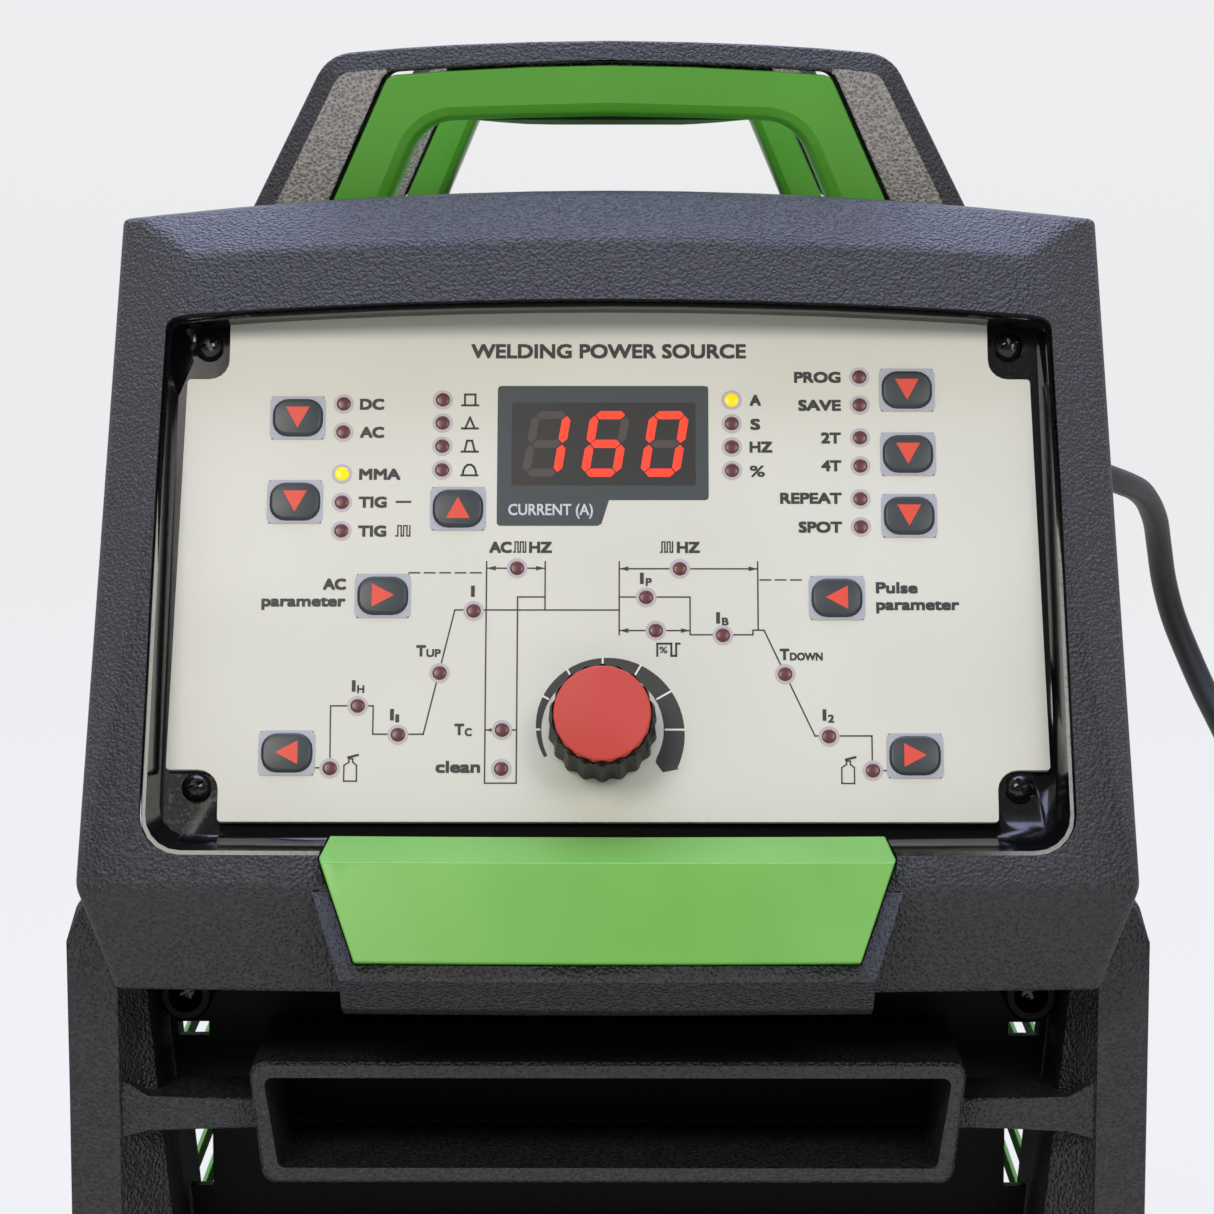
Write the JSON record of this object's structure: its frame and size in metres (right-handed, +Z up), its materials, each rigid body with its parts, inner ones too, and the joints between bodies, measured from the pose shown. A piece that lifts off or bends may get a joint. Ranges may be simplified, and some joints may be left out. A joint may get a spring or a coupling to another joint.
{
  "type": "tig welding machine",
  "caption": "Portable AC/DC TIG welding inverter with a tilted control panel, carrying handle, front sockets, rear fan and a mains lead.",
  "frame": {"origin": "centre of the machine's footprint, on the surface it stands on", "axes": "+Y runs from the front (control panel) to the rear, +Z up, +X to the right of someone facing the panel"},
  "size_m": [0.415, 0.6856, 0.416],
  "materials": {
    "textured_charcoal": "spark-textured injection moulding",
    "gloss_black": "glossy moulded plastic",
    "matt_black": "matt moulded plastic or powder coat",
    "green_plastic": "satin moulded plastic",
    "green_paint": "fine-textured powder coat",
    "ivory_laminate": "satin printed film on a moulded plate",
    "red_plastic": "satin moulded plastic",
    "slate_film": "satin printed film",
    "brass": "turned",
    "zinc_steel": "plated, turned",
    "aluminium": "extruded",
    "copper_winding": "enamelled copper wire",
    "rubber": "moulded",
    "circuit_board": "solder mask",
    "blue_plastic": "moulded plastic"
  },
  "bodies": {
    "machine": {"control_housing": "textured_charcoal", "front_frame": "textured_charcoal", "rear_frame": "textured_charcoal", "handle_front_arch": "textured_charcoal", "handle_rear_arch": "textured_charcoal", "handle_grip": "textured_charcoal", "panel_tray": "gloss_black", "panel_screw_top_left": "gloss_black", "panel_screw_top_right": "gloss_black", "panel_screw_foot_left": "gloss_black", "panel_screw_foot_right": "gloss_black", "connector_panel": "gloss_black", "frame_screw_left": "gloss_black", "frame_screw_right": "gloss_black", "mains_switch_frame": "gloss_black", "air_baffle": "matt_black", "socket_minus_housing": "matt_black", "socket_plus_housing": "matt_black", "fan_frame": "matt_black", "fan_guard": "matt_black", "rear_panel": "matt_black", "cable_gland": "matt_black", "transformer_core": "matt_black", "badge": "green_plastic", "handle_front_liner": "green_plastic", "handle_rear_liner": "green_plastic", "cover": "green_paint", "base_tray": "green_paint", "panel_plate": "ivory_laminate", "display_window": "slate_film", "socket_minus_contact": "brass", "socket_plus_contact": "brass", "gas_outlet": "brass", "gas_inlet": "brass", "trigger_socket": "zinc_steel", "heat_sink": "aluminium", "transformer_winding": "copper_winding", "foot_front_left": "rubber", "foot_front_right": "rubber", "foot_rear_left": "rubber", "foot_rear_right": "rubber", "mains_cord": "rubber", "cord_coil": "rubber", "control_board": "circuit_board", "power_board": "circuit_board", "mains_plug": "blue_plastic"},
    "knob": {"knob_skirt": "matt_black", "knob_cap": "red_plastic"},
    "fan": {"fan_rotor": "matt_black"},
    "rocker": {"mains_switch_rocker": "red_plastic"},
    "key_output": {"key_output": "slate_film"},
    "key_process": {"key_process": "slate_film"},
    "key_waveform": {"key_waveform": "slate_film"},
    "key_memory": {"key_memory": "slate_film"},
    "key_trigger": {"key_trigger": "slate_film"},
    "key_spot": {"key_spot": "slate_film"},
    "key_ac_parameter": {"key_ac_parameter": "slate_film"},
    "key_pulse_parameter": {"key_pulse_parameter": "slate_film"},
    "key_step_left": {"key_step_left": "slate_film"},
    "key_step_right": {"key_step_right": "slate_film"}
  },
  "joints": [
    {"name": "knob_turn", "type": "hinge", "parent": "machine", "child": "knob", "pos_m": [-0.0011, -0.23294, 0.27528], "axis": [0, -0.9205, 0.3907], "continuous": true},
    {"name": "fan_spin", "type": "hinge", "parent": "machine", "child": "fan", "pos_m": [-0.02, 0.245, 0.135], "axis": [0, 1, 0], "continuous": true},
    {"name": "rocker_tilt", "type": "hinge", "parent": "machine", "child": "rocker", "pos_m": [-0.06, 0.245, 0.3], "axis": [1, 0, 0], "range_deg": [0, 15]},
    {"name": "key_output_press", "type": "slide", "parent": "machine", "child": "key_output", "axis": [0, 0.9205, -0.3907], "range_m": [0, 0.0006], "stiffness_N_per_m": 500},
    {"name": "key_process_press", "type": "slide", "parent": "machine", "child": "key_process", "axis": [0, 0.9205, -0.3907], "range_m": [0, 0.0006], "stiffness_N_per_m": 500},
    {"name": "key_waveform_press", "type": "slide", "parent": "machine", "child": "key_waveform", "axis": [0, 0.9205, -0.3907], "range_m": [0, 0.0006], "stiffness_N_per_m": 500},
    {"name": "key_memory_press", "type": "slide", "parent": "machine", "child": "key_memory", "axis": [0, 0.9205, -0.3907], "range_m": [0, 0.0006], "stiffness_N_per_m": 500},
    {"name": "key_trigger_press", "type": "slide", "parent": "machine", "child": "key_trigger", "axis": [0, 0.9205, -0.3907], "range_m": [0, 0.0006], "stiffness_N_per_m": 500},
    {"name": "key_spot_press", "type": "slide", "parent": "machine", "child": "key_spot", "axis": [0, 0.9205, -0.3907], "range_m": [0, 0.0006], "stiffness_N_per_m": 500},
    {"name": "key_ac_parameter_press", "type": "slide", "parent": "machine", "child": "key_ac_parameter", "axis": [0, 0.9205, -0.3907], "range_m": [0, 0.0006], "stiffness_N_per_m": 500},
    {"name": "key_pulse_parameter_press", "type": "slide", "parent": "machine", "child": "key_pulse_parameter", "axis": [0, 0.9205, -0.3907], "range_m": [0, 0.0006], "stiffness_N_per_m": 500},
    {"name": "key_step_left_press", "type": "slide", "parent": "machine", "child": "key_step_left", "axis": [0, 0.9205, -0.3907], "range_m": [0, 0.0006], "stiffness_N_per_m": 500},
    {"name": "key_step_right_press", "type": "slide", "parent": "machine", "child": "key_step_right", "axis": [0, 0.9205, -0.3907], "range_m": [0, 0.0006], "stiffness_N_per_m": 500}
  ]
}
